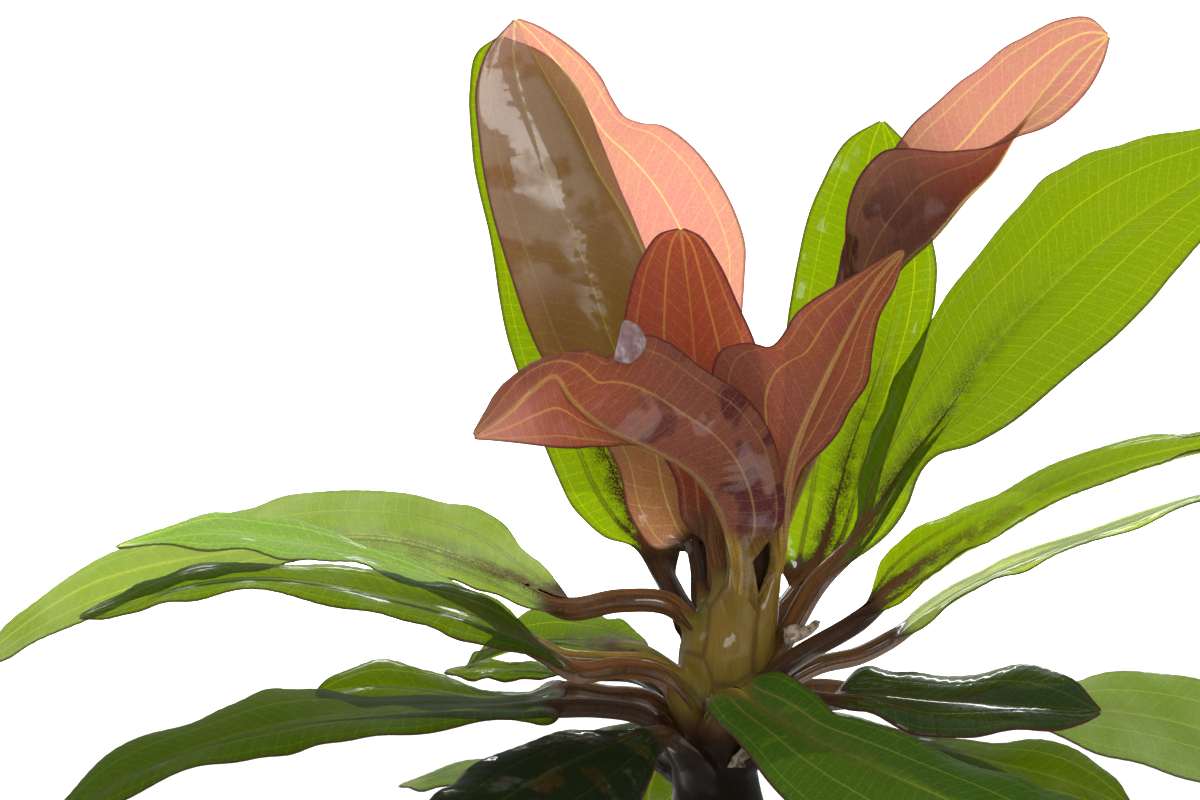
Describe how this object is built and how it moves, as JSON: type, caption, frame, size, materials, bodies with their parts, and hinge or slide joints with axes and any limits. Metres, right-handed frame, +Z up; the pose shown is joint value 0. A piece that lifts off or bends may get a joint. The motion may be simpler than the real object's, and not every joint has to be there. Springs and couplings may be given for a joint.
{
  "type": "red-leaved sword plant",
  "caption": "Aquarium sword plant lifted from its ground: a rosette of oval leaves on arching stalks, red in the heart and green outside, round a short crown cut flat at its foot.",
  "frame": {"origin": "middle of the crown's flat cut face, which rests on the surface", "axes": "+Z up along the crown, +X to the right of the picture, -Y towards its viewer"},
  "size_m": [0.3476, 0.2397, 0.2127],
  "materials": {
    "leaf_green": "wet leaf, see-through against light",
    "leaf_red": "wet young leaf, see-through against light",
    "crown": "fleshy olive-brown stem"
  },
  "bodies": {
    "root": {"crown": "crown", "leaf_red_tall": "leaf_red", "leaf_red_centre": "leaf_red", "leaf_red_front": "leaf_red", "leaf_red_right": "leaf_red", "leaf_red_twisted": "leaf_red", "leaf_green_tall": "leaf_green", "leaf_green_behind": "leaf_green", "leaf_green_broad": "leaf_green", "leaf_right_level": "leaf_green", "leaf_right_edge_on": "leaf_green", "leaf_right_dark": "leaf_green", "leaf_right_far": "leaf_green", "leaf_right_low": "leaf_green", "leaf_front": "leaf_green", "leaf_left_far": "leaf_green", "leaf_left_middle": "leaf_green", "leaf_left_near": "leaf_green", "leaf_back_left_broad": "leaf_green", "leaf_left_wavy": "leaf_green", "leaf_left_small": "leaf_green", "leaf_left_drooping": "leaf_green", "leaf_front_left_dark": "leaf_green", "leaf_left_lowest": "leaf_green", "leaf_back": "leaf_green", "leaf_back_right": "leaf_green"}
  },
  "joints": []
}
